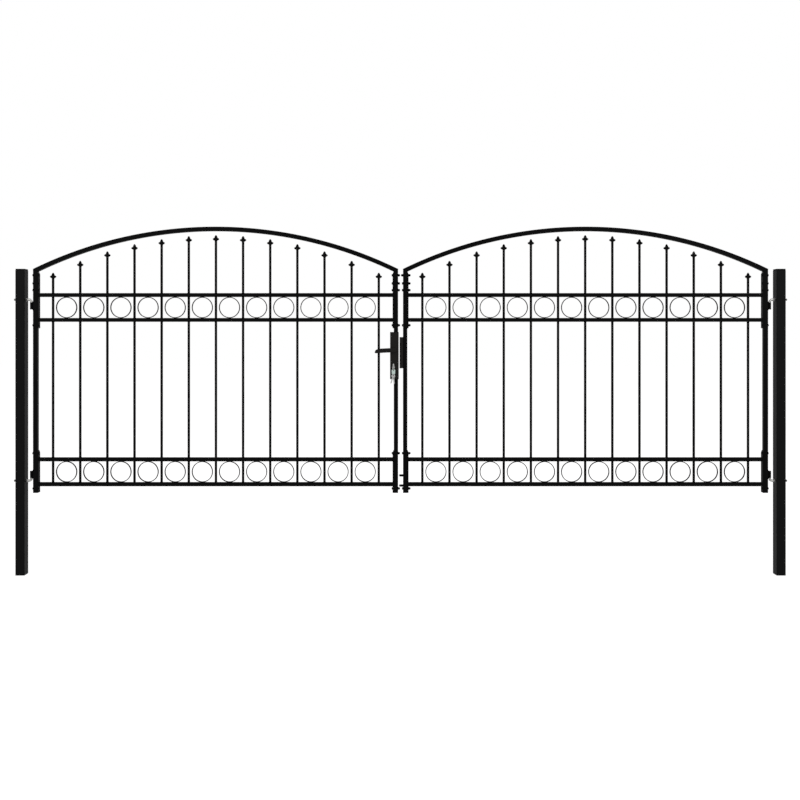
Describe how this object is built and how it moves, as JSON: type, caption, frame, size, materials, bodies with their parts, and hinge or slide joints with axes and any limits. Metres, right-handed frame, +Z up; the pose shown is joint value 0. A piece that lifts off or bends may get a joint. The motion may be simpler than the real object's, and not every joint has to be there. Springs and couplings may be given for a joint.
{
  "type": "arched double gate with spear-topped bars",
  "caption": "Black steel double gate with two posts, arched leaves, spear-topped bars, rings between the rails, gudgeon hinges and a lever lock.",
  "frame": {"origin": "centre of the left post's foot, seen from the street", "axes": "+X along the gate to the right post, +Y through the gate away from the street, +Z up"},
  "size_m": [5.038, 0.103, 2.2658],
  "materials": {
    "black_powder_coat": "satin",
    "black_plastic": "matte",
    "zinc_plate": "satin",
    "nickel": "satin",
    "black_lever": "satin",
    "key_plastic": "satin"
  },
  "bodies": {
    "posts": {"left_post": "black_powder_coat", "right_post": "black_powder_coat", "post_caps": "black_plastic", "foot_caps": "black_plastic", "left_gudgeons": "zinc_plate", "right_gudgeons": "zinc_plate"},
    "left_leaf": {"left_hinge_stile": "black_powder_coat", "left_meeting_stile": "black_powder_coat", "left_arch": "black_powder_coat", "left_top_rail": "black_powder_coat", "left_second_rail": "black_powder_coat", "left_third_rail": "black_powder_coat", "left_bottom_rail": "black_powder_coat", "left_bars": "black_powder_coat", "left_finials": "black_powder_coat", "left_upper_rings": "black_powder_coat", "left_lower_rings": "black_powder_coat", "left_panel_brackets": "black_powder_coat", "left_hinge_eyes": "black_powder_coat", "left_stile_caps": "black_plastic", "lock_case": "black_powder_coat", "lock_cylinder": "nickel", "key_bunch": "nickel"},
    "right_leaf": {"right_hinge_stile": "black_powder_coat", "right_meeting_stile": "black_powder_coat", "right_arch": "black_powder_coat", "right_top_rail": "black_powder_coat", "right_second_rail": "black_powder_coat", "right_third_rail": "black_powder_coat", "right_bottom_rail": "black_powder_coat", "right_bars": "black_powder_coat", "right_finials": "black_powder_coat", "right_upper_rings": "black_powder_coat", "right_lower_rings": "black_powder_coat", "right_panel_brackets": "black_powder_coat", "right_hinge_eyes": "black_powder_coat", "right_stile_caps": "black_plastic", "keeper_box": "black_powder_coat", "drop_rod_guides": "black_powder_coat"},
    "lever": {"lever_handles": "black_lever", "lever_spindle": "zinc_plate"}
  },
  "joints": [
    {"name": "left_leaf_swing", "type": "hinge", "parent": "posts", "child": "left_leaf", "pos_m": [0.063, 0, 0.611], "axis": [0, 0, 1], "range_deg": [-90, 90]},
    {"name": "right_leaf_swing", "type": "hinge", "parent": "posts", "child": "right_leaf", "pos_m": [4.877, 0, 0.611], "axis": [0, 0, -1], "range_deg": [-90, 90]},
    {"name": "lever_turn", "type": "hinge", "parent": "left_leaf", "child": "lever", "pos_m": [2.431, 0, 1.462], "axis": [0, -1, 0], "range_deg": [0, 40], "stiffness_Nm_per_rad": 1, "springref_deg": -34.38}
  ]
}
